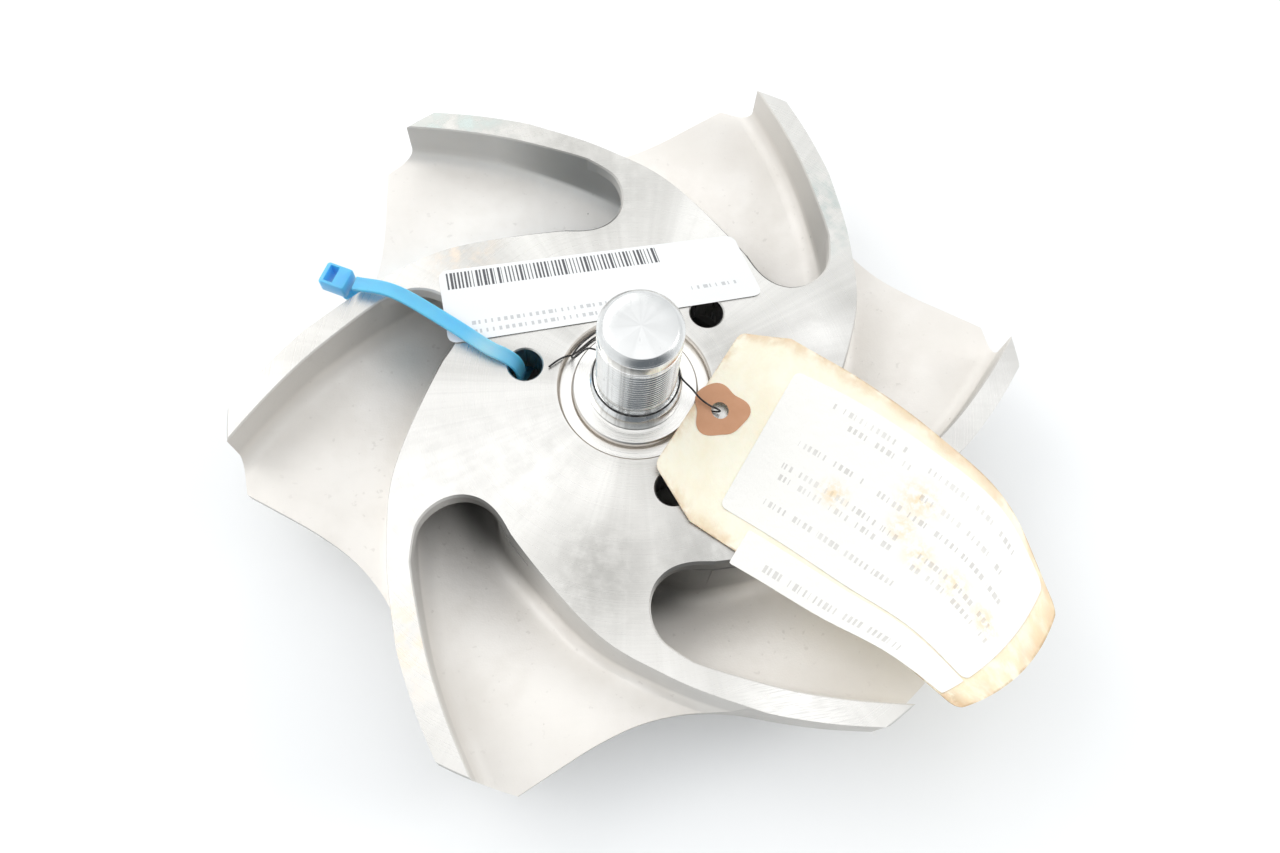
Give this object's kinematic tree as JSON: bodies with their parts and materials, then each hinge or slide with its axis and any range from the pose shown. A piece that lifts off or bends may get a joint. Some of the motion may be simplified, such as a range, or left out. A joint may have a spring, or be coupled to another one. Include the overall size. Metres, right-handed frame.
{
  "type": "centrifugal pump impeller",
  "caption": "Semi-open centrifugal pump impeller with backward-curved vanes: a stainless casting with a suction eye and balance holes, a threaded rear stud, a storage tag and labels.",
  "frame": {"origin": "on the shaft axis, in the plane of the eye ring that the impeller stands on", "axes": "+Z along the shaft axis from the suction eye to the rear stud; one vane's tip points along -X"},
  "size_m": [0.254, 0.2308, 0.09],
  "materials": {
    "cast_stainless_steel": "blasted stainless casting, rear face and rim turned bright",
    "machined_steel": "turned bright, fine thread",
    "white_paper": "satin label paper with plain printed bars",
    "manila_card": "creased and stained manila card",
    "brown_patch": "dull fibre reinforcing patch",
    "blue_nylon": "translucent blue nylon cable tie",
    "black_wire": "thin black tag wire"
  },
  "bodies": {
    "root": {"impeller_casting": "cast_stainless_steel", "threaded_stud": "machined_steel", "tie_strap": "blue_nylon", "tie_head": "blue_nylon", "tag_wire": "black_wire", "face_label": "white_paper", "shipping_tag": "manila_card", "tag_hole_patch": "brown_patch", "tag_paper_label": "white_paper", "tag_strip_label": "white_paper"}
  },
  "joints": []
}
